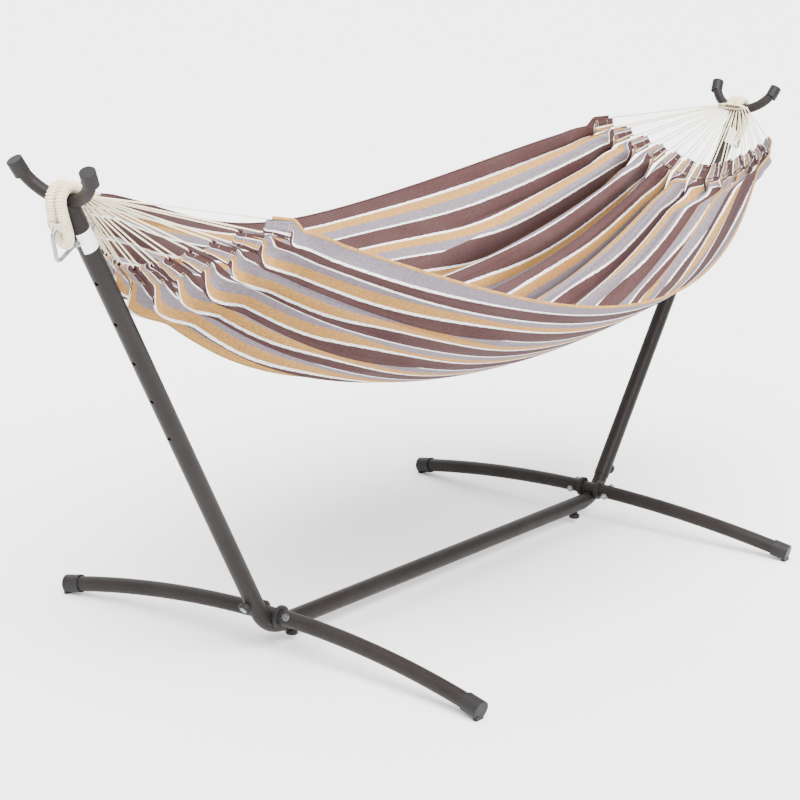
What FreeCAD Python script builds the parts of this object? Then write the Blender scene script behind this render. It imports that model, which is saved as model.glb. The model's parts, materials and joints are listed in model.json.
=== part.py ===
import FreeCAD, Part
import math
import os
import re

from FreeCAD import Placement, Rotation, Vector

# Hammock on a knock-down steel stand. Millimetres, +Z up, X along the hammock.
# The origin is on the ground under the middle. "near" is the -X end and "far" the +X end;
# "left" is the +Y side and "right" the -Y side.

SIZES = {
    # stand
    "corner_x": 709.0,          # sharp corner between the beam's axis and the upright's axis
    "beam_height": 50.0,        # height of the beam's axis
    "lean": 56.65,              # angle of the upright above the ground, degrees
    "bend_radius": 105.0,
    "tube_od": 40.0,            # beam and uprights
    "wall": 1.5,
    "tube_fit": 0.3,            # gap all round where the corner tube slides into beam and upright
    "corner_insert": 90.0,      # length of corner tube hidden in the beam and in the upright
    "upright_start": 66.0,      # along the upright's axis from the sharp corner
    "saddle_distance": 1200.0,  # along the upright's axis to the crossbar's axis
    # curved crossbar on each upright
    "horn_od": 25.4,
    "horn_radius": 90.5,
    "horn_half_angle": 80.0,
    "horn_cap_wall": 3.05,
    "horn_cap_length": 33.0,
    "horn_cap_floor": 6.0,
    # feet
    "foot_od": 35.4,
    "foot_fit": 0.2,            # gap all round between a foot tube and the stub inside it
    "stub_reach": 120.0,        # half length of the cross stub that carries both foot tubes
    "foot_offset": 20.0,        # foot axis above the bend's axis, towards the inside of the bend
    "foot_span_half": 570.0,
    "foot_cap_wall": 3.3,
    "foot_cap_length": 42.0,
    "foot_cap_bore": 28.0,
    "foot_pad_height": 8.4,
    "collar_lip": 7.3,
    "collar_length": 10.0,
    "collar_gap": 2.1,          # between the corner tube's side and each foot's collar
    "foot_bolt_place": 52.0,
    # fasteners
    "screw_od": 8.0,
    "screw_fit": 1.0,           # screw holes are this much wider than the screw
    "drill_length": 80.0,
    "nut_flats": 13.0,
    "nut_height": 6.5,
    "bolt_head_height": 5.3,
    "bolt_tail": 2.0,           # thread showing beyond a nut
    "washer_od": 18.0,
    "washer_height": 1.6,
    "knob_od": 28.0,
    "knob_height": 11.0,
    "knob_hub_od": 17.0,
    "knob_hub_height": 5.0,
    "knob_recess": 16.4,
    "knob_recess_depth": 2.5,
    "knob_edge": 2.0,
    "knob_gap": 0.3,
    "screw_disc_height": 1.8,
    "knob_place": 98.0,         # along the upright from the sharp corner
    "beam_knob_place": 94.0,    # along the beam from the sharp corner
    # hooks
    "hook_pitch": 102.6,
    "hook_holes": 6,
    "hook_reach": 80.0,
    # labels
    "label_height": 46.0,
    "label_thickness": 0.4,
    "label_half_angle": 72.0,
    # hammock
    "throat_gap": 3.7,          # cords gather this far inside the upright's radius
    "throat_rise": 10.6,        # and this far above the crossbar's axis
    "bed_middle_gap": 165.0,    # from the throat to the cloth's end, along the middle
    "bed_hem_gap": 295.0,       # and along the side hems
    "bed_width_half": 500.0,
    "bed_end_half": 250.0,
    "bed_depth": 546.0,         # middle of the cloth below the throat
    "bed_end_depth": 164.8,     # middle of the cloth's end below the throat
    "hem_depth": 295.0,         # side hem below the throat, half way along
    "hem_end_depth": 58.0,      # side hem below the throat, at its ends
    "bed_thickness": 5.0,
    "cord_od": 3.4,
    "loop_od": 22.0,
    "hem_od": 9.0,              # sewn channel at the end of each tab
    "hem_wall": 2.0,
    "hem_length": 16.0,
    "cord_bend": 6.0,           # radius of a cord's turn at each end of its channel
}

TAB_COUNT = 13
TAB_GAP = 8.0               # between the cloth's end line and the sewn channel of a tab
CORD_GAP = 0.5              # straight run of a cord outside each end of its channel
CORD_PAIR_GAP = 0.3         # between the two runs of one cord at the throat
EDGE_STEP = 0.02            # share of the cloth's half width over which its end's direction is read
THROAT_PITCH_GAP = 1.0      # between neighbouring cords at the throat
THROAT_SPREAD = 0.3        # extra spread of the outer cords
LOOP_MOUTH_GAP = 2.1        # between the cords' ends and the whipped loop's mouth
HOOK_GAP = 1.4              # between the hook's rod and the loop resting on it
HOOK_POINT_GAP = 2.0        # between the loop's outer side and the hook's returned point
RIM_TUCK = 3.0              # the loop's corner beside the rim lies this far inside touching
THROAT_SIDE_GAP = 4.0       # the loop's corner by the throat beyond touching the upright
BIGHT_GAP = 13.0            # the loop's lowest corner beyond touching the upright
SLIDE_GAP = 0.1             # moulded pieces over their tubes
CURVE_GAP = 0.3             # straight bore over a slightly curved foot tube
SAG_SHARE = 0.822           # how much of the cloth's rise is parabolic
SIDE_CURVE = 1.5            # power of the cloth's rise towards its side hems
LABEL_DROP = 0.62           # share of the label that lies below the hook
EDGE_ROUND = 1.2            # on the rims of the moulded pieces
PAD_LENGTH = 1.2            # foot pad's length as a share of the cap's radius
PAD_WIDTH = 0.7             # and its width as a share of the cap's floor
PAD_PLACE = 0.85
DIMPLE_DEPTH = 1.2
THREAD_GAP = 0.05
ALONG_X = Rotation(Vector(0, 1, 0), 90)
TURN_ROUND = Placement(Vector(0, 0, 0), Rotation(Vector(0, 0, 1), 180))

doc = FreeCAD.newDocument("hammock_on_stand")
sheet = doc.addObject("Spreadsheet::Sheet", "sizes")
for row, (alias, value) in enumerate(SIZES.items(), start=1):
    sheet.set("A%d" % row, alias)
    sheet.set("B%d" % row, str(value))
    sheet.setAlias("B%d" % row, alias)
doc.recompute()

nodes = []


def size(alias):
    """A driving dimension, read back from the sheet."""
    return float(getattr(sheet, alias))


def bind(obj, prop, formula):
    """Tie a property to the sheet; the formula uses the sheet's aliases."""
    def with_sheet(match):
        word = match.group(0)
        return "sizes." + word if word in SIZES else word
    obj.setExpression(prop, re.sub(r"[a-z_]+", with_sheet, formula))


def primitive(kind, name, place=None, **formulas):
    """A Part primitive whose sizes follow the sheet."""
    obj = doc.addObject("Part::" + kind, name)
    for prop, formula in formulas.items():
        bind(obj, prop, formula)
    if place is not None:
        obj.Placement = place
    return obj


def fuse(name, objects):
    result = doc.addObject("Part::MultiFuse", name)
    result.Shapes = objects
    return result


def cut(name, base, tool):
    result = doc.addObject("Part::Cut", name)
    result.Base = base
    result.Tool = tool
    return result


def sub_part(obj, name, place=None):
    """Register an object as one named piece of the assembly."""
    obj.Label = name
    if place is not None:
        obj.Placement = place
    nodes.append(obj)
    return obj


def feature(name, shape, place=None):
    """A piece whose shape is made with Part functions."""
    obj = doc.addObject("Part::Feature", name)
    obj.Shape = shape
    return sub_part(obj, name, place)


def frame_from(origin, x_dir, y_dir):
    """Placement with the given origin and local X and Y directions."""
    z_dir = x_dir.cross(y_dir)
    return Placement(origin, Rotation(x_dir, y_dir, z_dir, "XYZ"))


def along(origin, direction):
    """Placement whose local Z runs along a direction."""
    return Placement(origin, Rotation(Vector(0, 0, 1), direction))


# ---------------------------------------------------------------- stand geometry, far end

lean = math.radians(size("lean"))
UP = Vector(math.cos(lean), 0, math.sin(lean))            # along the far upright
OUT = Vector(math.sin(lean), 0, -math.cos(lean))          # out of its outer face
INWARD = Vector(-math.sin(lean / 2), 0, math.cos(lean / 2))   # from the bend to its centre
ACROSS = Vector(math.cos(lean / 2), 0, math.sin(lean / 2))    # square to INWARD and to Y
SIDE = Vector(0, 1, 0)

corner = Vector(size("corner_x"), 0, size("beam_height"))
tangent_length = size("bend_radius") * math.tan(lean / 2)
bend_start = corner - Vector(tangent_length, 0, 0)
bend_centre = bend_start + Vector(0, 0, size("bend_radius"))
bend_middle = bend_centre - INWARD * size("bend_radius")
foot_top = bend_middle + INWARD * size("foot_offset")

foot_end_height = size("foot_od") / 2 + size("foot_cap_wall")
foot_drop = (foot_top.z - foot_end_height) / INWARD.z
foot_radius = (size("foot_span_half") ** 2 + foot_drop ** 2) / (2 * foot_drop)
foot_centre = foot_top - INWARD * foot_radius

ENDS = {"near": TURN_ROUND, "far": Placement()}
SIDES = {"near": {"left": -1, "right": 1}, "far": {"left": 1, "right": -1}}


def on_upright(distance, outward=0.0, sideways=0.0):
    """A point of the far upright's own frame."""
    return corner + UP * distance + OUT * outward + SIDE * sideways


def on_foot(sideways, sign):
    """Axis point, outward direction along the tube and upward direction of a far foot tube."""
    angle = math.asin(sideways / foot_radius)
    radial = INWARD * math.cos(angle) + SIDE * (sign * math.sin(angle))
    tangent = SIDE * (sign * math.cos(angle)) - INWARD * math.sin(angle)
    return foot_centre + radial * foot_radius, tangent, radial


# ---------------------------------------------------------------- sizes that follow from others

CORNER_OD = "(tube_od - wall * 2 - tube_fit * 2)"
STUB_OD = "(foot_od - wall * 2 - foot_fit * 2)"
TANGENT = "bend_radius * tan(lean / 2)"

corner_bore = size("tube_od") / 2 - size("wall") * 2 - size("tube_fit")
collar_place = corner_bore + size("wall") + size("collar_gap")
screw_radius = size("screw_od") / 2
hole_radius = (size("screw_od") + size("screw_fit")) / 2
saddle = size("saddle_distance")
saddle_point = on_upright(saddle)
cord_reach = size("hem_length") / 2 + CORD_GAP + size("cord_bend")
throat_x = saddle_point.x - size("tube_od") / 2 - size("throat_gap")
throat_z = saddle_point.z + size("throat_rise")


# Corner points of the whipped rope loop: outward of the upright's axis, along it from the
# crossbar's axis, and the gap left between the rope and the middle plane. The rope comes from
# the throat on the inner side, goes over the crossbar, down the outer face and round the bight,
# and back the same way. It clears the crossbar in turns of the rope round it, and the upright's
# rim from the place where rope and upright would touch.
loop_radius = size("loop_od") / 2
loop_turn = (size("horn_od") + size("loop_od")) / 2
rope_touch = size("tube_od") / 2 + loop_radius
rope_side = max(1.181 * loop_turn, rope_touch - RIM_TUCK)
loop_drop = 2.911 * loop_turn
LOOP_LEG = [
    (-rope_touch - THROAT_SIDE_GAP, -1.013 * loop_turn, 1.0),
    (-rope_side, 0.338 * loop_turn, 1.0),
    (-0.506 * loop_turn, 1.139 * loop_turn, 1.0),
    (0.506 * loop_turn, 1.139 * loop_turn, 1.0),
    (rope_side, 0.506 * loop_turn, 1.5),
    (rope_touch + BIGHT_GAP, -loop_drop, 4.0),
]

# Corner points of the hook: outward of the upright's axis and along it from the hook's hole.
hook_place = saddle - loop_drop - loop_radius - screw_radius - HOOK_GAP
hook_point = size("tube_od") / 2 + size("loop_od") + HOOK_POINT_GAP
HOOK_TAIL = -36.0
HOOK_TIP = [(hook_point + 19.0, 52.0), (hook_point, 60.0)]
HOOK_BEND = 9.0


# ---------------------------------------------------------------- tubes

def hole(name, origin, direction):
    """A drill through one wall of a tube, starting on its axis."""
    return primitive("Cylinder", name, along(origin, direction),
                     Radius="(screw_od + screw_fit) / 2", Height="drill_length")


def cross_hole(name, centre, direction):
    """A drill through both walls of a tube."""
    return hole(name, centre - direction * (size("drill_length") / 2), direction)


def make_beam():
    half = size("corner_x") - tangent_length - size("wall")
    start = Placement(Vector(-half, 0, size("beam_height")), ALONG_X)
    length = "(corner_x - %s - wall) * 2" % TANGENT
    skin = primitive("Cylinder", "beam_skin", start, Radius="tube_od / 2", Height=length)
    core = primitive("Cylinder", "beam_core", start, Radius="tube_od / 2 - wall", Height=length)
    knob_x = size("corner_x") - size("beam_knob_place")
    drills = []
    for sign in (-1, 1):
        origin = Vector(sign * knob_x, 0, size("beam_height"))
        drills.append(hole("beam_hole_%d" % (sign + 1), origin, Vector(0, 0, -1)))
    tools = fuse("beam_tools", [core] + drills)
    sub_part(cut("center_beam", skin, tools), "center_beam")


def bent_tube(name, radius_formula):
    """The corner's straight end, bend and other straight end as one solid."""
    low = primitive("Cylinder", name + "_low", None, Radius=radius_formula, Height="corner_insert")
    low.Placement = Placement(bend_start - Vector(size("corner_insert"), 0, 0), ALONG_X)
    bend = primitive("Torus", name + "_bend", None, Radius1="bend_radius",
                     Radius2=radius_formula, Angle3="lean")
    bend.Placement = frame_from(bend_centre, Vector(0, 0, -1), Vector(1, 0, 0))
    high = primitive("Cylinder", name + "_high", along(on_upright(tangent_length), UP),
                     Radius=radius_formula,
                     Height="upright_start - %s + corner_insert" % TANGENT)
    return fuse(name, [low, bend, high])


def make_corner(end):
    outer = bent_tube("corner_skin_" + end, CORNER_OD + " / 2")
    inner = bent_tube("corner_core_" + end, CORNER_OD + " / 2 - wall")
    half = size("stub_reach") / foot_radius
    start_dir = INWARD * math.cos(half) - SIDE * math.sin(half)
    turn_dir = SIDE * math.cos(half) + INWARD * math.sin(half)
    stub_place = frame_from(foot_centre, start_dir, turn_dir)
    stubs = []
    for name, radius in (("skin", STUB_OD + " / 2"), ("core", STUB_OD + " / 2 - wall")):
        arc = primitive("Torus", "stub_%s_%s" % (name, end), stub_place, Radius2=radius)
        arc.Radius1 = foot_radius
        arc.Angle3 = math.degrees(2 * half)
        stubs.append(arc)
    stub_skin, stub_core = stubs
    drills = [hole("corner_hole_a_" + end, on_upright(size("knob_place")), OUT)]
    knob_x = size("corner_x") - size("beam_knob_place")
    beam_axis = Vector(knob_x, 0, size("beam_height"))
    drills.append(hole("corner_hole_b_" + end, beam_axis, Vector(0, 0, -1)))
    for sign in (-1, 1):
        centre = on_foot(size("foot_bolt_place"), sign)[0]
        drills.append(cross_hole("stub_hole_%s_%d" % (end, sign + 1), centre, ACROSS))
    body = fuse("corner_body_" + end, [outer, stub_skin])
    tools = fuse("corner_tools_" + end, [inner, stub_core] + drills)
    sub_part(cut("base_corner_" + end, body, tools), "base_corner_" + end, ENDS[end])


def make_upright(end):
    length = "saddle_distance - upright_start - wall * 2"
    place = along(on_upright(size("upright_start")), UP)
    skin = primitive("Cylinder", "upright_skin_" + end, place, Radius="tube_od / 2", Height=length)
    core = primitive("Cylinder", "upright_core_" + end, place, Radius="tube_od / 2 - wall",
                     Height=length + " - horn_od / 2")
    half_angle = math.radians(size("horn_half_angle"))
    horn_centre = on_upright(saddle + size("horn_radius"))
    start_dir = UP * -math.cos(half_angle) - SIDE * math.sin(half_angle)
    turn_dir = SIDE * math.cos(half_angle) - UP * math.sin(half_angle)
    horn_place = frame_from(horn_centre, start_dir, turn_dir)
    horn = primitive("Torus", "horn_skin_" + end, horn_place, Radius1="horn_radius",
                     Radius2="horn_od / 2", Angle3="horn_half_angle * 2")
    bore = primitive("Torus", "horn_core_" + end, horn_place, Radius1="horn_radius",
                     Radius2="horn_od / 2 - wall", Angle3="horn_half_angle * 2")
    drills = [hole("knob_hole_" + end, on_upright(size("knob_place")), OUT)]
    for index in range(int(size("hook_holes"))):
        centre = on_upright(hook_place - index * size("hook_pitch"))
        drills.append(cross_hole("hook_hole_%s_%d" % (end, index), centre, OUT))
    body = fuse("upright_body_" + end, [skin, horn])
    tools = fuse("upright_tools_" + end, [core, bore] + drills)
    sub_part(cut("upright_" + end, body, tools), "upright_" + end, ENDS[end])


def make_foot(end, side):
    sign = SIDES[end][side]
    tag = "%s_%s" % (end, side)
    inner_end = collar_place + size("collar_length") + size("foot_fit")
    start = math.asin(inner_end / foot_radius)
    cap_floor = size("foot_cap_length") - size("foot_cap_bore")
    finish = math.asin(size("foot_span_half") / foot_radius) - cap_floor / foot_radius
    start_dir = INWARD * math.cos(start) + SIDE * (sign * math.sin(start))
    turn_dir = SIDE * (sign * math.cos(start)) - INWARD * math.sin(start)
    place = frame_from(foot_centre, start_dir, turn_dir)
    solids = []
    for name, radius in (("skin", "foot_od / 2"), ("core", "foot_od / 2 - wall")):
        arc = primitive("Torus", "foot_%s_%s" % (name, tag), place, Radius2=radius)
        arc.Radius1 = foot_radius
        arc.Angle3 = math.degrees(finish - start)
        solids.append(arc)
    centre = on_foot(size("foot_bolt_place"), sign)[0]
    drill = cross_hole("foot_hole_" + tag, centre, ACROSS)
    tools = fuse("foot_tools_" + tag, [solids[1], drill])
    sub_part(cut("foot_tube_" + tag, solids[0], tools), "foot_tube_" + tag, ENDS[end])
    make_foot_cap(end, tag, sign, finish)
    make_collar(end, tag, sign)


# ---------------------------------------------------------------- turned plastic pieces

def origin_plane(body, role):
    for item in body.Origin.OriginFeatures:
        if item.Role == role:
            return item
    raise ValueError(role)


def revolved_body(name, outline, fillets=()):
    """A turned piece: closed outline of (radius, height) turned round the local Z axis."""
    body = doc.addObject("PartDesign::Body", name)
    sketch = body.newObject("Sketcher::SketchObject", name + "_sketch")
    sketch.AttachmentSupport = [(origin_plane(body, "XZ_Plane"), "")]
    sketch.MapMode = "FlatFace"
    count = len(outline)
    for index in range(count):
        first = outline[index]
        second = outline[(index + 1) % count]
        line = Part.LineSegment(Vector(first[0], first[1], 0), Vector(second[0], second[1], 0))
        sketch.addGeometry(line)
    turned = body.newObject("PartDesign::Revolution", name + "_turned")
    turned.Profile = sketch
    turned.ReferenceAxis = (sketch, ["V_Axis"])
    turned.Angle = 360
    doc.recompute()
    if fillets:
        edges = []
        for index, edge in enumerate(turned.Shape.Edges, start=1):
            if edge.Curve.TypeId != "Part::GeomCircle":
                continue
            spot = (round(edge.Curve.Radius, 3), round(edge.Curve.Center.z, 3))
            if spot in [(round(r, 3), round(z, 3)) for r, z in fillets]:
                edges.append("Edge%d" % index)
        rounded = body.newObject("PartDesign::Fillet", name + "_rounded")
        rounded.Base = (turned, edges)
        rounded.Radius = EDGE_ROUND
        body.Tip = rounded
        doc.recompute()
    return body


def cap_outline(outer, inner, length, bore):
    """A cup with its mouth down at height 0 and its closed end at the given length."""
    return [(outer, 0), (outer, length), (0, length), (0, bore), (inner, bore), (inner, 0)]


def make_foot_cap(end, tag, sign, finish):
    length = size("foot_cap_length")
    bore = size("foot_cap_bore")
    outer = foot_end_height
    outline = cap_outline(outer, size("foot_od") / 2 + CURVE_GAP, length, bore)
    body = revolved_body("foot_cap_body_" + tag, outline, [(outer, length)])
    tube_end, tangent, _ = on_foot(foot_radius * math.sin(finish), sign)
    body.Placement = along(tube_end - tangent * bore, tangent)
    pad = primitive("Box", "foot_pad_" + tag, None, Height="foot_pad_height")
    pad.Length = outer * PAD_LENGTH
    pad.Width = (length - bore) * PAD_WIDTH
    pad_end = tube_end + tangent * ((length - bore) * PAD_PLACE)
    low_y = min(pad_end.y, pad_end.y - sign * pad.Width.Value)
    low_x = pad_end.x - pad.Length.Value / 2
    pad.Placement = Placement(Vector(low_x, low_y, 0), Rotation())
    sub_part(fuse("foot_cap_" + tag, [body, pad]), "foot_cap_" + tag, ENDS[end])


def make_collar(end, tag, sign):
    outer = size("foot_od") / 2 + size("collar_lip")
    inner = size("foot_od") / 2 - size("wall")
    length = size("collar_length")
    outline = [(inner, 0), (outer, 0), (outer, length), (inner, length)]
    body = revolved_body("foot_collar_" + tag, outline, [(outer, 0), (outer, length)])
    origin, tangent, _ = on_foot(collar_place, sign)
    sub_part(body, "foot_collar_" + tag, ENDS[end] * along(origin, tangent))


def make_horn_cap(end, side):
    sign = SIDES[end][side]
    tag = "%s_%s" % (end, side)
    half_angle = math.radians(size("horn_half_angle"))
    length = size("horn_cap_length")
    bore = length - size("horn_cap_floor")
    outer = size("horn_od") / 2 + size("horn_cap_wall")
    centre = on_upright(saddle + size("horn_radius"))
    radial = SIDE * (sign * math.sin(half_angle)) - UP * math.cos(half_angle)
    tangent = SIDE * (sign * math.cos(half_angle)) + UP * math.sin(half_angle)
    tip = centre + radial * size("horn_radius")
    outline = cap_outline(outer, size("horn_od") / 2 + SLIDE_GAP, length, bore)
    body = revolved_body("horn_cap_body_" + tag, outline, [(outer, length)])
    body.Placement = along(tip - tangent * bore, tangent)
    bend = primitive("Torus", "horn_way_" + tag, None, Radius1="horn_radius",
                     Radius2="horn_od / 2")
    bend.Angle3 = math.degrees(bore * 1.3 / size("horn_radius"))
    bend.Placement = frame_from(centre, radial, tangent * -1)
    cap = cut("horn_cap_" + tag, body, bend)
    sub_part(cap, "horn_cap_" + tag, ENDS[end])


# ---------------------------------------------------------------- fasteners

def hexagon(flats, height, bore):
    """A plain nut standing on the XY plane."""
    points = []
    for index in range(7):
        angle = math.radians(60 * index)
        reach = flats / math.sqrt(3)
        points.append(Vector(reach * math.cos(angle), reach * math.sin(angle), 0))
    solid = Part.Face(Part.makePolygon(points)).extrude(Vector(0, 0, height))
    if bore > 0:
        solid = solid.cut(Part.makeCylinder(bore, height))
    return solid


def washer(outer, height):
    ring = Part.makeCylinder(outer, height)
    return ring.cut(Part.makeCylinder(hole_radius, height))


def placed(shape, place):
    copy = shape.copy()
    copy.Placement = place
    return copy


def make_foot_fasteners():
    """Bolt, two washers and a nut through each foot tube and the stub inside it."""
    bolts, washers, nuts = [], [], []
    reach = size("foot_od") / 2
    thick = size("washer_height")
    shank = reach + thick + size("nut_height") + size("bolt_tail")
    for end in ENDS:
        for sign in (-1, 1):
            centre = on_foot(size("foot_bolt_place"), sign)[0]
            head_place = along(centre - ACROSS * (reach + thick), ACROSS * -1)
            head = placed(hexagon(size("nut_flats"), size("bolt_head_height"), 0), head_place)
            rod_start = along(centre - ACROSS * (reach + thick), ACROSS)
            rod = placed(Part.makeCylinder(screw_radius, reach + thick + shank), rod_start)
            bolts.append(placed(head.fuse(rod), ENDS[end]))
            for face in (-1, 1):
                spot = along(centre + ACROSS * (face * reach), ACROSS * face)
                washers.append(placed(washer(size("washer_od") / 2, thick), ENDS[end] * spot))
            nut_place = along(centre + ACROSS * (reach + thick), ACROSS)
            nut = hexagon(size("nut_flats"), size("nut_height"), screw_radius)
            nuts.append(placed(nut, ENDS[end] * nut_place))
    feature("foot_bolts", Part.makeCompound(bolts))
    feature("foot_washers", Part.makeCompound(washers))
    feature("foot_nuts", Part.makeCompound(nuts))


def knob_places():
    """Point on the tube's axis and outward direction of each knob."""
    places = {}
    knob_x = size("corner_x") - size("beam_knob_place")
    for end, place in ENDS.items():
        origin = place.multVec(on_upright(size("knob_place")))
        outward = place.Rotation.multVec(OUT)
        places["upright_knob_" + end] = (origin, outward)
        beam = place.multVec(Vector(knob_x, 0, size("beam_height")))
        places["beam_knob_" + end] = (beam, Vector(0, 0, -1))
    return places


def make_knobs():
    """Hand knobs on screws; each screw runs into a nut welded inside the corner tube."""
    hub = size("knob_hub_od") / 2
    head = size("knob_od") / 2
    rise = size("knob_hub_height")
    top = rise + size("knob_height")
    recess = size("knob_recess") / 2
    sink = top - size("knob_recess_depth")
    edge = size("knob_edge")
    screw = screw_radius
    corner_reach = size("nut_flats") / math.sqrt(3)
    nut_seat = math.sqrt(corner_bore ** 2 - corner_reach ** 2)
    weld_nuts = []
    for name, (origin, outward) in knob_places().items():
        base = size("tube_od") / 2 + size("knob_gap")
        outline = [(screw, 0), (hub, 0), (hub, rise - edge / 2), (head - edge, rise),
                   (head, rise + edge), (head, top - edge), (head - edge, top), (recess, top),
                   (recess, sink), (screw, sink)]
        grip = revolved_body(name + "_grip", outline)
        sub_part(grip, name, along(origin + outward * base, outward))
        start = nut_seat - size("nut_height") - size("bolt_tail")
        disc_base = base + sink - start
        disc_top = disc_base + size("screw_disc_height")
        shaft = Part.makeCylinder(screw, disc_base)
        disc = Part.makeCylinder(recess, size("screw_disc_height"), Vector(0, 0, disc_base))
        dimple = Part.makeCone(screw / 2, screw, DIMPLE_DEPTH, Vector(0, 0, disc_top - DIMPLE_DEPTH))
        solid = shaft.fuse(disc).cut(dimple)
        feature(name + "_screw", solid, along(origin + outward * start, outward))
        nut = hexagon(size("nut_flats"), size("nut_height"), screw + THREAD_GAP)
        nut_place = along(origin + outward * (nut_seat - size("nut_height")), outward)
        weld_nuts.append(placed(nut, nut_place))
    feature("weld_nuts", Part.makeCompound(weld_nuts))


# ---------------------------------------------------------------- cords, rope and hooks

def route_wire(points, radii=None, share=0.45):
    """Straight runs joined by tangent arcs through a list of corner points."""
    edges = []
    last = points[0]
    used = []
    for index in range(1, len(points) - 1):
        before = points[index] - points[index - 1]
        after = points[index + 1] - points[index]
        turn = before.getAngle(after)
        shorter = min(before.Length, after.Length)
        radius = share * shorter / math.tan(turn / 2)
        if radii is not None and radii[index] is not None:
            radius = radii[index]
        step = radius * math.tan(turn / 2)
        before.normalize()
        after.normalize()
        first = points[index] - before * step
        second = points[index] + after * step
        to_centre = (after - before)
        to_centre.normalize()
        centre = points[index] + to_centre * (radius / math.cos(turn / 2))
        middle = centre - to_centre * radius
        edges.append(Part.LineSegment(last, first).toShape())
        edges.append(Part.Arc(first, middle, second).toShape())
        last = second
        used.append(radius)
    edges.append(Part.LineSegment(last, points[-1]).toShape())
    return Part.Wire(edges), used


def route_tube(points, diameter, label, radii=None):
    """A plain round tube along a route; its volume has to match section times length."""
    wire, used = route_wire(points, radii)
    start_dir = points[1] - points[0]
    profile = Part.Wire(Part.makeCircle(diameter / 2, points[0], start_dir))
    solid = wire.makePipeShell([profile], True, False)
    expected = math.pi * (diameter / 2) ** 2 * wire.Length
    print("%s length %.0f radii %s volume ratio %.3f" % (
        label, wire.Length, [round(radius, 1) for radius in used], solid.Volume / expected))
    return solid


def make_loop(end):
    legs = [on_upright(saddle + s, n, side_gap + loop_radius) for n, s, side_gap in LOOP_LEG]
    back = [on_upright(saddle + s, n, -side_gap - loop_radius)
            for n, s, side_gap in reversed(LOOP_LEG)]
    tube = route_tube(legs + back, size("loop_od"), "whipped_loop")
    mouth = throat_x + size("cord_od") / 2 + LOOP_MOUTH_GAP
    room = tube.BoundBox
    room.enlarge(loop_radius)
    limit = Part.makeBox(room.XMax - mouth, room.YLength, room.ZLength,
                         Vector(mouth, room.YMin, room.ZMin))
    feature("whipped_loop_" + end, tube.common(limit), ENDS[end])


def make_hook(end):
    points = [on_upright(hook_place, HOOK_TAIL), on_upright(hook_place, size("hook_reach"))]
    points += [on_upright(hook_place + s, n) for n, s in HOOK_TIP]
    rod = route_tube(points, size("screw_od"), "hook", [None, HOOK_BEND, HOOK_BEND, None])
    feature("hook_" + end, rod, ENDS[end])


def make_hook_fasteners():
    nuts, washers = [], []
    reach = size("tube_od") / 2
    for place in ENDS.values():
        for face in (-1, 1):
            seat = along(on_upright(hook_place, face * reach), OUT * face)
            washers.append(placed(washer(size("washer_od") / 2, size("washer_height")),
                                  place * seat))
            start = face * (reach + size("washer_height"))
            seat = along(on_upright(hook_place, start), OUT * face)
            nut = hexagon(size("nut_flats"), size("nut_height"), screw_radius)
            nuts.append(placed(nut, place * seat))
    feature("hook_nuts", Part.makeCompound(nuts))
    feature("hook_washers", Part.makeCompound(washers))


def make_label(end):
    """A thin blank wrap-round label on the right-hand face of the upright."""
    radius = size("tube_od") / 2
    height = size("label_height")
    angle = size("label_half_angle")
    shell = Part.makeCylinder(radius + size("label_thickness"), height, Vector(), Vector(0, 0, 1),
                              2 * angle)
    shell = shell.cut(Part.makeCylinder(radius, height))
    side = SIDE * SIDES[end]["right"]
    turn = Rotation(Vector(0, 0, 1), -angle)
    base = on_upright(hook_place - height * LABEL_DROP)
    place = Placement(base, Rotation(side, UP.cross(side), UP, "ZXY") * turn)
    feature("label_" + end, shell, ENDS[end] * place)


# ---------------------------------------------------------------- hammock

def bed_point(u, v):
    """Upper face of the cloth: u runs along the hammock and v across it, both -1 to 1."""
    fullness = math.cos(math.pi * u / 2)
    gap = size("bed_hem_gap") + (size("bed_middle_gap") - size("bed_hem_gap")) * (1 - v * v)
    half_length = throat_x - gap
    climb = SAG_SHARE * u ** 2 + (1 - SAG_SHARE) * u ** 4
    depth = size("bed_depth") - (size("bed_depth") - size("bed_end_depth")) * climb
    hem_depth = size("hem_end_depth") + (size("hem_depth") - size("hem_end_depth")) * fullness
    reach = size("bed_end_half") + (size("bed_width_half") - size("bed_end_half")) * fullness
    height = throat_z - depth + (depth - hem_depth) * abs(v) ** SIDE_CURVE
    return Vector(half_length * u, reach * v, height)


def bed_surface(drop):
    """Spline surface through a grid of cloth points, lowered by the given drop."""
    steps = [index / 8 for index in range(-8, 9)]
    grid = [[bed_point(u, v) - Vector(0, 0, drop) for v in steps] for u in steps]
    surface = Part.BSplineSurface()
    surface.interpolate(grid)
    return surface


def make_bed():
    top = bed_surface(0)
    bottom = bed_surface(size("bed_thickness"))
    faces = [top.toShape(), bottom.toShape()]
    span = top.bounds()
    for which in ("u_low", "u_high", "v_low", "v_high"):
        curves = []
        for surface in (top, bottom):
            value = {"u_low": span[0], "u_high": span[1], "v_low": span[2], "v_high": span[3]}
            iso = surface.uIso if which[0] == "u" else surface.vIso
            curves.append(iso(value[which]).toShape())
        faces.append(Part.makeRuledSurface(curves[0], curves[1]))
    shell = Part.makeShell(faces)
    shell.sewShape()
    solid = Part.makeSolid(shell)
    if solid.Volume < 0:
        solid.reverse()
    feature("hammock_bed", solid)


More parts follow.
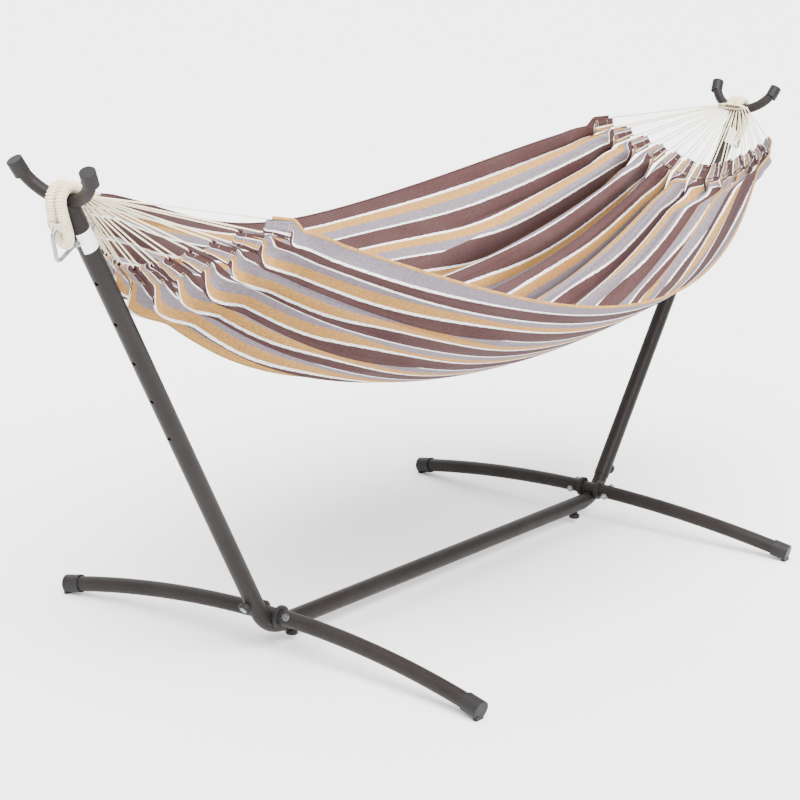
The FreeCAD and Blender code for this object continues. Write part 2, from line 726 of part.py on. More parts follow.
def tab_frame(index):
    """Centre and axis of a far tab's sewn channel, and the throat point of its cord."""
    v = index / (TAB_COUNT // 2)
    edge = bed_point(1, min(v + EDGE_STEP, 1)) - bed_point(1, max(v - EDGE_STEP, -1))
    edge.normalize()
    end = bed_point(1, v) - Vector(0, 0, size("bed_thickness") / 2)
    pitch = size("cord_od") + THROAT_PITCH_GAP + THROAT_SPREAD * abs(index)
    throat = Vector(throat_x, index * pitch, throat_z)
    pull = throat - end
    pull.normalize()
    slant = edge.dot(pull)
    axis = edge - pull * slant
    axis.normalize()
    centre = end + pull * (size("hem_od") / 2 + TAB_GAP + abs(slant) * cord_reach)
    return centre, axis, throat, pull


def hem_channel(centre, axis):
    """The rolled cloth round a cord, open at both ends."""
    length = size("hem_length")
    radius = size("hem_od") / 2
    start = centre - axis * (length / 2)
    outer = Part.makeCylinder(radius, length, start, axis)
    return outer.cut(Part.makeCylinder(radius - size("hem_wall"), length, start, axis))


def cord_route(centre, axis, throat, pull):
    """From the throat, through the channel and back: one run above the other at the throat."""
    apart = pull.cross(axis)
    leg = (size("cord_od") + CORD_PAIR_GAP) / 2
    return [throat + apart * leg, centre - axis * cord_reach, centre + axis * cord_reach,
            throat - apart * leg]


def make_tabs_and_cords(end):
    """Sewn channels at the cloth's end, each with one cord doubled through it."""
    channels, cords = [], []
    bend = [None, size("cord_bend"), size("cord_bend"), None]
    half = TAB_COUNT // 2
    for index in range(-half, half + 1):
        centre, axis, throat, pull = tab_frame(index)
        channels.append(placed(hem_channel(centre, axis), ENDS[end]))
        points = cord_route(centre, axis, throat, pull)
        label = "cord_%s_%d" % (end, index)
        cords.append(placed(route_tube(points, size("cord_od"), label, bend), ENDS[end]))
    feature("tab_hems_" + end, Part.makeCompound(channels))
    feature("cords_" + end, Part.makeCompound(cords))


# ---------------------------------------------------------------- build

make_beam()
for end in ENDS:
    make_corner(end)
    make_upright(end)
    for side in ("left", "right"):
        make_foot(end, side)
        make_horn_cap(end, side)
    make_hook(end)
    make_loop(end)
    make_label(end)
    make_tabs_and_cords(end)
make_foot_fasteners()
make_hook_fasteners()
make_knobs()
make_bed()
doc.recompute()

for obj in doc.Objects:
    if "Invalid" in obj.State or "Error" in obj.State:
        raise RuntimeError("failed object: " + obj.Name)
for obj in nodes:
    if obj.Shape.isNull() or not obj.Shape.isValid():
        raise RuntimeError("bad shape: " + obj.Label)

os.makedirs("parts", exist_ok=True)
for obj in nodes:
    obj.Shape.exportStep("parts/%s.step" % obj.Label)
    print("%-26s %2d solids %10.0f mm3" % (obj.Label, len(obj.Shape.Solids), obj.Shape.Volume))
print(len(nodes), "nodes")
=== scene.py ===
import json
import math

import bpy
import numpy as np
from mathutils import Matrix, Vector


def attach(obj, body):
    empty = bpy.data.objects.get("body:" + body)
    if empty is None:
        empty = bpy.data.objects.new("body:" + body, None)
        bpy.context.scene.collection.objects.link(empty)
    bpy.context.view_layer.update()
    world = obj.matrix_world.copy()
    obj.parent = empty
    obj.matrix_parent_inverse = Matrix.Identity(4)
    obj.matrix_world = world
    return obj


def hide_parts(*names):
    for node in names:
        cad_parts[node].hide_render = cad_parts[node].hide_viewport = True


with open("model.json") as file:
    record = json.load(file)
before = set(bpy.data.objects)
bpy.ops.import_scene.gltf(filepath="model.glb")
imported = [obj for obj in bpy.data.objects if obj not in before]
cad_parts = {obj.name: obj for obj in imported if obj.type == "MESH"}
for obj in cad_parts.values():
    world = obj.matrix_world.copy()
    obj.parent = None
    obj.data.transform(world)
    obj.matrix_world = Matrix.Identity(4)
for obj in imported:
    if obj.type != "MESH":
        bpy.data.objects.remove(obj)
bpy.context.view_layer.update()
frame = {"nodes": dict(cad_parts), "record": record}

# Metres, +Z up, X along the hammock, far end at +X. The near end is the far end turned round.
ENDS = {"near": -1, "far": 1}

# ---------------------------------------------------------------- camera

CAMERA_PLACE = Vector((-4.35618, -2.77687, 1.71033))
CAMERA_YAW = math.radians(34.0186)
CAMERA_PITCH = math.radians(-13.8909)
CAMERA_ROLL = math.radians(3.3652)
CAMERA_LENS = 100.25


def make_camera():
    aim = Vector((math.cos(CAMERA_PITCH) * math.cos(CAMERA_YAW),
                  math.cos(CAMERA_PITCH) * math.sin(CAMERA_YAW), math.sin(CAMERA_PITCH)))
    level = aim.cross(Vector((0, 0, 1))).normalized()
    upright = level.cross(aim)
    right = level * math.cos(CAMERA_ROLL) + upright * math.sin(CAMERA_ROLL)
    above = upright * math.cos(CAMERA_ROLL) - level * math.sin(CAMERA_ROLL)
    data = bpy.data.cameras.new("camera")
    data.lens = CAMERA_LENS
    data.sensor_width = 36.0
    data.clip_end = 100.0
    camera = bpy.data.objects.new("camera", data)
    turn = Matrix((right, above, -aim)).transposed().to_4x4()
    camera.matrix_world = Matrix.Translation(CAMERA_PLACE) @ turn
    bpy.context.scene.collection.objects.link(camera)
    bpy.context.scene.camera = camera


make_camera()

# ---------------------------------------------------------------- shader helpers


class Shader:
    """A node material with one Principled shader; add() makes a node and links its inputs."""

    def __init__(self, name, colour, roughness, metallic=0.0, sheen=0.0, specular=0.5):
        self.material = bpy.data.materials.new(name)
        self.material.use_nodes = True
        self.tree = self.material.node_tree
        self.surface = self.tree.nodes["Principled BSDF"]
        self.surface.inputs["Base Color"].default_value = (*colour, 1)
        self.surface.inputs["Roughness"].default_value = roughness
        self.surface.inputs["Metallic"].default_value = metallic
        self.surface.inputs["Sheen Weight"].default_value = sheen
        self.surface.inputs["Specular IOR Level"].default_value = specular

    def add(self, kind, settings=None, **inputs):
        node = self.tree.nodes.new("ShaderNode" + kind)
        for key, value in (settings or {}).items():
            setattr(node, key, value)
        for key, value in inputs.items():
            name = int(key[1:]) if key[1:].isdigit() else key.replace("_", " ")
            self.feed(node.inputs[name], value)
        return node

    def feed(self, socket, value):
        if isinstance(value, bpy.types.NodeSocket):
            self.tree.links.new(value, socket)
        else:
            socket.default_value = value

    def maths(self, operation, first, second=0.0, third=0.0):
        node = self.add("Math", {"operation": operation}, _0=first, _1=second, _2=third)
        return node.outputs[0]

    def mix(self, share, first, second, how="MIX"):
        node = self.add("Mix", {"data_type": "RGBA", "blend_type": how})
        for index, value in ((0, share), (6, first), (7, second)):
            self.feed(node.inputs[index], value)
        return node.outputs[2]

    def noise(self, scale, detail=2.0, vector=None, roughness=0.5):
        node = self.add("TexNoise", Scale=scale, Detail=detail, Roughness=roughness)
        if vector is not None:
            self.feed(node.inputs["Vector"], vector)
        return node.outputs["Fac"]

    def spread(self, value, low, high):
        """Map 0..1 to low..high."""
        return self.add("MapRange", None, Value=value, To_Min=low, To_Max=high).outputs[0]

    def place(self):
        return self.add("TexCoord").outputs["Object"]

    def bump(self, height, strength, distance):
        node = self.add("Bump", Strength=strength, Distance=distance, Height=height)
        self.feed(self.surface.inputs["Normal"], node.outputs[0])

    def set(self, name, value):
        self.feed(self.surface.inputs[name], value)


def powder_coat():
    """Semi-matt dark coating: fine orange peel, faint dust and small rubbed specks."""
    shader = Shader("frame_powder_coat", (0.016, 0.014, 0.013), 0.42, specular=0.1)
    where = shader.place()
    cloud = shader.noise(9.0, 3.0, where)
    tone = shader.mix(cloud, (0.011, 0.0095, 0.009, 1), (0.021, 0.018, 0.017, 1))
    speck = shader.maths("GREATER_THAN", shader.noise(420.0, 1.0, where), 0.71)
    tone = shader.mix(shader.maths("MULTIPLY", speck, 0.35), tone, (0.06, 0.053, 0.05, 1))
    shader.set("Base Color", tone)
    shader.set("Roughness", shader.spread(shader.noise(60.0, 3.0, where), 0.34, 0.52))
    shader.bump(shader.noise(750.0, 2.0, where), 0.18, 0.0006)
    return shader.material


def moulded_plastic():
    """Black moulded plastic with a fine grain and slightly shinier rubbed patches."""
    shader = Shader("black_moulded_plastic", (0.012, 0.011, 0.011), 0.48, specular=0.14)
    where = shader.place()
    patch = shader.noise(35.0, 3.0, where)
    shader.set("Base Color", shader.mix(patch, (0.009, 0.009, 0.009, 1), (0.020, 0.018, 0.018, 1)))
    shader.set("Roughness", shader.spread(patch, 0.36, 0.62))
    shader.bump(shader.noise(1300.0, 2.0, where), 0.25, 0.0004)
    return shader.material


def zinc_plate():
    """Bright zinc with cloudy bands of polish and fine scratches."""
    shader = Shader("zinc_plate", (0.26, 0.27, 0.28), 0.3, metallic=1.0)
    where = shader.place()
    cloud = shader.noise(120.0, 3.0, where)
    shader.set("Base Color", shader.mix(cloud, (0.17, 0.175, 0.185, 1), (0.36, 0.37, 0.385, 1)))
    shader.set("Roughness", shader.spread(shader.noise(300.0, 2.0, where), 0.2, 0.46))
    shader.bump(shader.noise(900.0, 2.0, where), 0.12, 0.0003)
    return shader.material


def blank_sticker():
    """A blank satin sticker, faintly mottled where it has been pressed on."""
    shader = Shader("blank_sticker", (0.80, 0.80, 0.79), 0.38)
    where = shader.place()
    mottle = shader.noise(90.0, 2.0, where)
    shader.set("Base Color", shader.mix(mottle, (0.74, 0.74, 0.73, 1), (0.86, 0.86, 0.85, 1)))
    shader.set("Roughness", shader.spread(mottle, 0.3, 0.5))
    shader.bump(mottle, 0.1, 0.0004)
    return shader.material


def twisted_cotton(name, turns, strands):
    """Undyed cotton laid in strands, with painted shade in the grooves between them; the lay follows
    the piece's own UV, along and round it.
    """
    shader = Shader(name, (0.80, 0.70, 0.48), 0.88, sheen=0.03, specular=0.1)
    split = shader.add("SeparateXYZ", None, Vector=shader.add("TexCoord").outputs["UV"])
    along = shader.maths("MULTIPLY", split.outputs[0], turns)
    phase = shader.maths("MULTIPLY_ADD", split.outputs[1], strands, along)
    groove = shader.maths("ABSOLUTE", shader.maths("SINE", shader.maths("MULTIPLY", phase, math.pi)))
    fuzz = shader.noise(1500.0, 2.0, shader.place())
    # The lay's grooves darken the colour: painted shade between the strands. The fuzz is random tone.
    fuzz_and_groove_shade = shader.maths("MULTIPLY_ADD", fuzz, 0.5, shader.maths("MULTIPLY", groove, 0.6))
    shader.set("Base Color", shader.mix(fuzz_and_groove_shade, (0.42, 0.33, 0.19, 1), (0.90, 0.82, 0.62, 1)))
    shader.bump(fuzz_and_groove_shade, 0.5, 0.0008)
    return shader.material


# ---------------------------------------------------------------- cloth material

CLOTH_WIDTH = 1.5                  # cut width of the cloth
EDGE_BAND = 0.105                  # the first stripes from the right-hand hem
BROWN = (0.046, 0.0175, 0.0175)
TAN = (0.36, 0.185, 0.048)
GREY = (0.165, 0.140, 0.165)
PALE = (0.80, 0.79, 0.78)
EDGE_STRIPES = [(GREY, 0.043), (PALE, 0.007), (BROWN, 0.048), (PALE, 0.007)]
STRIPES = [(GREY, 0.030), (TAN, 0.026), (PALE, 0.007), (BROWN, 0.065), (PALE, 0.007),
           (GREY, 0.032), (TAN, 0.026), (PALE, 0.007), (BROWN, 0.051), (PALE, 0.007)]


def stripe_ramp(shader, position, stripes):
    """Hard-edged stripes of the given colours and widths; position runs from 0 to 1."""
    ramp = shader.add("ValToRGB", None, Fac=position)
    bands = ramp.color_ramp
    bands.interpolation = "CONSTANT"
    total = sum(width for _, width in stripes)
    place = 0.0
    for index, (colour, width) in enumerate(stripes):
        stop = bands.elements[index] if index < 2 else bands.elements.new(min(place, 1.0))
        stop.position = place
        stop.color = (*colour, 1)
        place += width / total
    return ramp.outputs[0]


def stretched(shader, across, along, scale_across, scale_along):
    """Cloth coordinates scaled unevenly, so that noise on them runs along the threads."""
    return shader.add("CombineXYZ", None, X=shader.maths("MULTIPLY", across, scale_across),
                      Y=shader.maths("MULTIPLY", along, scale_along)).outputs[0]


STRIPE_WANDER = 0.004              # how far a stripe's edge strays
THREAD_PITCH = 0.0022
THREADS_ACROSS = 620.0             # noise cells per metre across a thread
THREADS_ALONG = 110.0              # and along it


def woven(name, plain=None):
    """Coarse plain weave. Striped by the cloth's own coordinates, or of one plain colour."""
    shader = Shader(name, plain or GREY, 0.92, sheen=0.02, specular=0.12)
    across = shader.add("Attribute", {"attribute_name": "across"}).outputs["Fac"]
    along = shader.add("Attribute", {"attribute_name": "along"}).outputs["Fac"]
    where = shader.add("CombineXYZ", None, X=across, Y=along).outputs[0]
    wander = shader.maths("SUBTRACT", shader.noise(60.0, 2.0, where), 0.5)
    wander = shader.maths("MULTIPLY", wander, STRIPE_WANDER)
    start = shader.maths("ADD", shader.maths("ADD", across, wander), CLOTH_WIDTH / 2)
    if plain:
        colour = (*plain, 1)
    else:
        repeat = sum(width for _, width in STRIPES)
        main = shader.maths("DIVIDE", shader.maths("SUBTRACT", start, EDGE_BAND), repeat)
        colour = shader.mix(shader.maths("LESS_THAN", start, EDGE_BAND),
                            stripe_ramp(shader, shader.maths("FRACT", main), STRIPES),
                            stripe_ramp(shader, shader.maths("DIVIDE", start, EDGE_BAND), EDGE_STRIPES))
    warp = stretched(shader, across, along, THREADS_ACROSS, THREADS_ALONG)
    weft = stretched(shader, across, along, THREADS_ALONG, THREADS_ACROSS)
    threads = shader.maths("ADD", shader.noise(1.0, 1.0, warp), shader.noise(1.0, 1.0, weft))
    heather = stretched(shader, across, along, 260.0, 90.0)
    speckle = shader.maths("ADD", shader.noise(430.0, 2.0, where, 0.7), shader.noise(1.0, 2.0, heather))
    dark = shader.add("MapRange", None, Value=speckle, From_Min=0.7, From_Max=1.3,
                      To_Min=0.55, To_Max=1.45).outputs[0]
    tint = shader.add("CombineColor", None, Red=dark, Green=dark, Blue=dark).outputs[0]
    colour = shader.mix(0.75, colour, tint, "MULTIPLY")
    fade = shader.noise(7.0, 3.0, where)
    colour = shader.mix(shader.maths("MULTIPLY", fade, 0.05), colour, (0.60, 0.52, 0.48, 1))
    shader.set("Base Color", colour)
    over, under = (shader.maths("SINE", shader.maths("MULTIPLY", place, 2 * math.pi / THREAD_PITCH))
                   for place in (across, along))
    knots = shader.maths("MULTIPLY", over, under)
    relief = shader.maths("MULTIPLY_ADD", knots, 0.35, threads)
    shader.bump(relief, 0.42, 0.0012)
    return shader.material


STEEL = powder_coat()
PLASTIC = moulded_plastic()
ZINC = zinc_plate()
STICKER = blank_sticker()
CORD = twisted_cotton("cotton_cord_lay", 130.0, 3.0)
WHIPPING = twisted_cotton("cotton_whipping", 900.0, 2.0)
STRIPED = woven("striped_weave")
TAN_HEM = woven("tan_hem_weave", TAN)
BROWN_HEM = woven("brown_hem_weave", BROWN)
THREAD = twisted_cotton("sewing_thread", 4.0, 1.0)

SLOT_MATERIALS = {"frame_steel": STEEL, "black_plastic": PLASTIC, "zinc_steel": ZINC,
                  "blank_label": STICKER, "cotton_cord": CORD, "striped_cotton": STRIPED}


def dress_frame():
    """Give every carried-over node the finish of its slot in the record."""
    for row in frame["record"]["subparts"]:
        node = frame["nodes"][row["node"]]
        for spot in node.material_slots:
            spot.material = SLOT_MATERIALS[row["material_slot"]]


dress_frame()

# ---------------------------------------------------------------- the hammock's geometry

LEAN = math.radians(56.65)
CORNER = Vector((0.709, 0, 0.050))
UP = Vector((math.cos(LEAN), 0, math.sin(LEAN)))
OUT = Vector((math.sin(LEAN), 0, -math.cos(LEAN)))
SIDE = Vector((0, 1, 0))
SADDLE = 1.200
SADDLE_POINT = CORNER + UP * SADDLE
THROAT_X = SADDLE_POINT.x - 0.0237    # where the cords gather
THROAT_Z = SADDLE_POINT.z + 0.0106
THROAT_PITCH = 0.0044              # between neighbouring cords there
THROAT_SPREAD = 0.0003             # and the outer cords' extra spread
HALF = 6                           # tabs on each side of the middle one
TABS = range(-HALF, HALF + 1)
CORD_OD = 0.0034
CORD_PAIR_GAP = 0.0003             # between the two runs of one cord at the throat
HEM_OD = 0.009                     # a tab's sewn channel
CORD_REACH = 0.0145                # from the channel's middle to the cord's corner
TAB_GAP = 0.008                    # between the cloth's end and a tab's sewn channel
BED_HEM_GAP = 0.295                # from the throat to the cloth's end, along the side hems
BED_MIDDLE_GAP = 0.165             # and along the middle
BED_DEPTH = 0.546                  # middle of the cloth below the throat
BED_END_DEPTH = 0.1648             # middle of the cloth's end below the throat
HEM_DEPTH = 0.295                  # side hem below the throat, half way along
HEM_END_DEPTH = 0.058              # side hem below the throat, at its ends
BED_END_HALF = 0.250
BED_WIDTH_HALF = 0.500
SAG_SHARE = 0.822                  # how much of the cloth's rise is parabolic
SIDE_CURVE = 1.5                   # power of the rise towards the side hems
EDGE_STEP = 0.02                   # share of the half width over which an end's direction is read
CHANNEL_DROP = 0.0025              # sewn channels lie at the middle of the CAD cloth's thickness


def cloth_half_length(v):
    return THROAT_X - (BED_HEM_GAP + (BED_MIDDLE_GAP - BED_HEM_GAP) * (1 - v * v))


def bed_point(u, v):
    """The cloth's smooth form, as in the CAD: u along and v across, both -1 to 1."""
    fullness = np.cos(np.pi * u / 2)
    climb = SAG_SHARE * u ** 2 + (1 - SAG_SHARE) * u ** 4
    depth = BED_DEPTH - (BED_DEPTH - BED_END_DEPTH) * climb
    hem_depth = HEM_END_DEPTH + (HEM_DEPTH - HEM_END_DEPTH) * fullness
    reach = BED_END_HALF + (BED_WIDTH_HALF - BED_END_HALF) * fullness
    height = THROAT_Z - depth + (depth - hem_depth) * np.abs(v) ** SIDE_CURVE
    return np.stack([cloth_half_length(v) * u, reach * v, height + 0 * u], axis=-1)


def turned(point, sign):
    """The far end's point, or its twin at the near end."""
    return Vector((point[0] * sign, point[1] * sign, point[2]))


def tab_frame(index):
    """Centre and axis of a far tab's sewn channel, its cord's throat point and its pull."""
    v = index / HALF
    left = bed_point(1.0, min(v + EDGE_STEP, 1))
    right = bed_point(1.0, max(v - EDGE_STEP, -1))
    edge = Vector(left - right).normalized()
    end = Vector(bed_point(1.0, v)) - Vector((0, 0, CHANNEL_DROP))
    throat = Vector((THROAT_X, index * (THROAT_PITCH + THROAT_SPREAD * abs(index)), THROAT_Z))
    pull = (throat - end).normalized()
    slant = edge.dot(pull)
    axis = (edge - pull * slant).normalized()
    centre = end + pull * (HEM_OD / 2 + TAB_GAP + abs(slant) * CORD_REACH)
    return centre, axis, throat, pull


# ---------------------------------------------------------------- cords

LONG_RUN_STEP = 0.030              # each long run has a point this far from its corner


def smooth_curve(name, points, radius=0.0, resolution=12):
    """A NURBS line through space; with a radius it is a round cord."""
    data = bpy.data.curves.new(name, "CURVE")
    data.dimensions = "3D"
    data.resolution_u = resolution
    data.bevel_depth = radius
    data.bevel_resolution = 3
    data.use_fill_caps = radius > 0
    spline = data.splines.new("NURBS")
    spline.points.add(len(points) - 1)
    for spot, point in zip(spline.points, points):
        spot.co = (*point, 1)
    spline.order_u = 3
    spline.use_endpoint_u = True
    piece = bpy.data.objects.new(name, data)
    bpy.context.scene.collection.objects.link(piece)
    return piece


def make_cord(end, index):
    """One doubled cord: from the throat, through its tab's channel and back."""
    centre, axis, throat, pull = tab_frame(index)
    apart = pull.cross(axis)
    leg = (CORD_OD + CORD_PAIR_GAP) / 2
    first = centre - axis * CORD_REACH
    second = centre + axis * CORD_REACH
    start = throat + apart * leg
    finish = throat - apart * leg
    points = [start, first + (start - first).normalized() * LONG_RUN_STEP, first,
              second, second + (finish - second).normalized() * LONG_RUN_STEP, finish]
    points = [turned(point, ENDS[end]) for point in points]
    name = "cord_%s_%02d" % (end, index + HALF)
    cord = smooth_curve(name, points, CORD_OD / 2)
    cord.data.materials.append(CORD)
    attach(cord, "hammock")
    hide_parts("cords_" + end)


for end in ENDS:
    for index in TABS:
        make_cord(end, index)

# Corner points of the rope loop, as in the CAD: outward of the upright's axis, along it from
# the crossbar's, and the gap from the middle plane.
LOOP_RADIUS = 0.011
LOOP_LEG = [(-0.0320, -0.0107, 0.0010), (-0.0280, 0.0080, 0.0010), (-0.0120, 0.0270, 0.0010),
            (0.0120, 0.0270, 0.0010), (0.0280, 0.0120, 0.0015), (0.0440, -0.0690, 0.0040)]
WHIPPING_RADIUS = 0.0026
WRAP_PITCH = 0.0050
WRAP_STEPS = 14                    # points in a turn of whipping
RING = 8                           # points round a mesh tube
BINDING_TOP = (0.0372, -0.019)     # outward of the upright's axis and along it from the crossbar's
BINDING_FOOT = (0.0400, -0.033)
BINDING_WIDTH = 0.0250             # half axes of its turns
BINDING_HEIGHT = 0.0122
BINDING_RADIUS = 0.0016
BINDING_PITCH = 0.0034
LASHING_START = -0.026             # along X from the throat
LASHING_END = -0.008
LASHING_WIDTH = 0.0385
LASHING_HEIGHT = 0.0060
LASHING_RADIUS = 0.0015
LASHING_PITCH = 0.0030
ACROSS_Y = np.array([0.0, 1.0, 0.0])


def line_points(curve):
    """Points read from a curve with no bevel, in order."""
    mesh = bpy.data.meshes.new_from_object(curve)
    points = np.array([vertex.co[:] for vertex in mesh.vertices])
    bpy.data.meshes.remove(mesh)
    return points


def resample(points, count):
    steps = np.linalg.norm(np.diff(points, axis=0), axis=1)
    travel = np.concatenate([[0], np.cumsum(steps)])
    wanted = np.linspace(0, travel[-1], count)
    return np.stack([np.interp(wanted, travel, points[:, k]) for k in range(3)], axis=1), travel[-1]


def carried_frames(points):
    """Tangents and two side directions that turn as little as they can along the points."""
    tangents = np.gradient(points, axis=0)
    tangents /= np.linalg.norm(tangents, axis=1)[:, None]
    side = np.cross(tangents[0], [0.0, 1.0, 0.0])
    sides = []
    for tangent in tangents:
        side = side - tangent * np.dot(side, tangent)
        side = side / np.linalg.norm(side)
        sides.append(side)
    sides = np.array(sides)
    return tangents, sides, np.cross(tangents, sides)


def tube_mesh(name, points, width, height=None):
    """A tube round the points; width and height are its half axes."""
    count = len(points)
    ring = RING
    height = width if height is None else height
    _, first, second = carried_frames(points)
    angle = np.linspace(0, 2 * np.pi, ring, endpoint=False)[None, :, None]
    skin = points[:, None] + width * np.cos(angle) * first[:, None]
    skin = skin + height * np.sin(angle) * second[:, None]
    faces = []
    for row in range(count - 1):
        for k in range(ring):
            faces.append((row * ring + k, (row + 1) * ring + k,
                          (row + 1) * ring + (k + 1) % ring, row * ring + (k + 1) % ring))
    faces.append(tuple(range(ring)))
    faces.append(tuple((count - 1) * ring + k for k in reversed(range(ring))))
    mesh = bpy.data.meshes.new(name)
    mesh.from_pydata(skin.reshape(-1, 3).tolist(), [], faces)
    wrap = mesh.uv_layers.new(name="lay")
    loops = np.array([loop.vertex_index for loop in mesh.loops])
    coordinates = np.stack([loops // ring / count, loops % ring / ring], axis=1)
    wrap.data.foreach_set("uv", coordinates.ravel())
    mesh.shade_smooth()
    piece = bpy.data.objects.new(name, mesh)
    bpy.context.scene.collection.objects.link(piece)
    return piece


def helix(points, radius_a, radius_b, pitch, sides=None):
    """A whipping cord's centreline round the given line."""
    length = np.linalg.norm(np.diff(points, axis=0), axis=1).sum()
    count = int(length / pitch * WRAP_STEPS)
    line, length = resample(points, count)
    tangents, first, second = carried_frames(line)
    if sides is not None:
        first = np.broadcast_to(sides, line.shape)
        second = np.cross(tangents, first)
    angle = (np.linspace(0, length, count) / pitch * 2 * np.pi)[:, None]
    return line + radius_a * np.cos(angle) * first + radius_b * np.sin(angle) * second


def make_loop(end):
    """The bundle of cords, bound with whipping, that goes over the crossbar onto the hook."""
    sign = ENDS[end]
    legs = []
    for gap_sign, corners in ((1, LOOP_LEG), (-1, LOOP_LEG[::-1])):
        for outward, along, gap in corners:
            point = SADDLE_POINT + OUT * outward + UP * along
            point += SIDE * (gap_sign * (gap + LOOP_RADIUS))
            legs.append(turned(point, sign))
    route = smooth_curve("loop_route_" + end, legs, resolution=24)
    line = line_points(route)
    bpy.data.objects.remove(route)
    thread = LOOP_RADIUS - WHIPPING_RADIUS
    core = smooth_curve("whipped_loop_core_" + end, legs, thread)
    core.data.materials.append(CORD)
    turns = helix(line, thread, thread, WRAP_PITCH)
    whipping = tube_mesh("whipped_loop_turns_" + end, turns, WHIPPING_RADIUS)
    whipping.data.materials.append(WHIPPING)
    for piece in (core, whipping):
        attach(piece, "stand")
        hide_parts("whipped_loop_" + end)


def make_loop_binding(end):
    """A few turns of cord that draw the loop's two legs together below the crossbar."""
    top, foot = (SADDLE_POINT + OUT * outward + UP * along
                 for outward, along in (BINDING_TOP, BINDING_FOOT))
    line = np.array([top + (foot - top) * share for share in np.linspace(0, 1, 30)])
    turns = helix(line, BINDING_WIDTH, BINDING_HEIGHT, BINDING_PITCH, sides=ACROSS_Y)
    turns[:, :2] *= ENDS[end]
    binding = tube_mesh("loop_binding_" + end, turns, BINDING_RADIUS)
    binding.data.materials.append(WHIPPING)
    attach(binding, "stand")


def make_throat_wrap(end):
    """A flat lashing that gathers the doubled cords just before the rope loop."""
    places = np.linspace(LASHING_START, LASHING_END, 40)
    line = np.array([[THROAT_X + x, 0, THROAT_Z] for x in places])
    turns = helix(line, LASHING_WIDTH, LASHING_HEIGHT, LASHING_PITCH, sides=ACROSS_Y)
    turns[:, :2] *= ENDS[end]
    wrap = tube_mesh("throat_wrap_" + end, turns, LASHING_RADIUS)
    wrap.data.materials.append(WHIPPING)
    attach(wrap, "hammock")


for end in ENDS:
    make_loop(end)
    make_loop_binding(end)
    make_throat_wrap(end)

# ---------------------------------------------------------------- the bed: one gathered sheet

ROWS = 250
CELL_COLUMNS = 24                  # columns of faces in each tab's share of the cloth
LEAD_START = 0.86                  # ridges bend towards their tabs beyond this share of the half length
SLIT_START = 0.93                  # tabs are separate beyond this one
TAB_START = 0.962                  # and flat beyond this one
TONGUE_HALF = 0.0185               # half width of a flat tab
TONGUE_FLARE = 3.125               # its growth per metre away from the channel
TONGUE_GAP = 0.004                 # the cloth's tab starts this far behind the channel's middle
LOOP_LENGTH = 0.048                # a tab's end, from the channel's middle to its last stitches
PUCKERS = 9.0
CLOTH_THICKNESS = 0.0016
CLOTH_HALF_LENGTH = 1.15
HEM_HALF_WIDTH = 0.0032
HEM_HALF_HEIGHT = 0.0022
CELL = CLOTH_WIDTH / (2 * HALF)    # cloth gathered into one tab
# Depth in metres of the fold between each pair of tabs, from the right-hand hem to the left,
# and how far along the half length it starts.
FOLDS = {
    "near": ([0.026, 0.044, 0.034, 0.050, 0.036, 0.044, 0.050, 0.040, 0.046, 0.040, 0.034, 0.026],
             [0.30, 0.10, 0.30, 0.20, 0.35, 0.25, 0.20, 0.30, 0.20, 0.25, 0.35, 0.40]),
    "far": ([0.022, 0.030, 0.034, 0.042, 0.048, 0.085, 0.044, 0.090, 0.080, 0.080, 0.040, 0.024],
            [0.45, 0.35, 0.30, 0.20, 0.15, 0.00, 0.20, 0.00, 0.05, 0.00, 0.30, 0.40]),
}
FOLD_GROWTH = 0.55                 # share of the half length in which a fold gets its full depth
RIDGE_LIFT = 0.25                  # share of the fold's depth that its ridges rise
SHARPEST = 0.985                   # keeps a crevice's walls short of upright
LEFT_LIFT = 0.045                  # the left-hand hem rides this much higher than in the CAD
SWELL = 0.0045
RIPPLE = 0.0016


def smoothstep(value):
    value = np.clip(value, 0, 1)
    return value * value * (3 - 2 * value)


def lead_share(u):
    """0 on the free cloth, growing to 1 where the tabs begin."""
    return smoothstep((np.abs(u) - LEAD_START) / (SLIT_START - LEAD_START))


def cloth_form(u, v):
    """The CAD form with the left-hand hem riding higher and soft uneven swells."""
    points = bed_point(u, v)
    free = 1 - u ** 4
    left = np.clip(v, 0, 1)
    points[..., 2] += LEFT_LIFT * left ** 2 * free
    swell = np.sin(2.3 * u + 1.7 * v + 0.6) * np.sin(5.1 * v - 1.9 * u)
    swell += 0.5 * np.sin(7.3 * u + 3.1 * v) * np.sin(4.2 * v + 0.8)
    points[..., 2] += SWELL * swell * free
    return points


def outward_normals(u, v):
    step = 1e-3
    by_u = cloth_form(u + step, v) - cloth_form(u - step, v)
    by_v = cloth_form(u, v + step) - cloth_form(u, v - step)
    normals = np.cross(by_v, by_u)
    return normals / np.linalg.norm(normals, axis=-1)[..., None]


def fold_depth(u, v, end):
    """How far the cloth drops between the ridges that run to the tabs."""
    depths, starts = (np.array(values) for values in FOLDS[end])
    cell = np.clip(np.floor(v * HALF + 0.5), -HALF, HALF)
    offset = v * HALF - cell
    side = np.where(offset >= 0, 0, -1)
    nearest = np.clip(cell + HALF + side, 0, 2 * HALF - 1).astype(int)
    grow = smoothstep((np.abs(u) - starts[nearest]) / FOLD_GROWTH)
    crevice = 1 - np.sqrt(1 - np.minimum(np.abs(offset) * 2, SHARPEST) ** 2)
    lift = RIDGE_LIFT * (1 - lead_share(u))
    return depths[nearest] * grow * (crevice - lift)


def ripples(u, v):
    """Small creases that run lengthwise and grow towards the tabs."""
    lines = np.sin(61 * v + 3 * np.sin(2.1 * u)) + 0.6 * np.sin(97 * v - 4 * u)
    return RIPPLE * lines * smoothstep((np.abs(u) - 0.25) / 0.7)


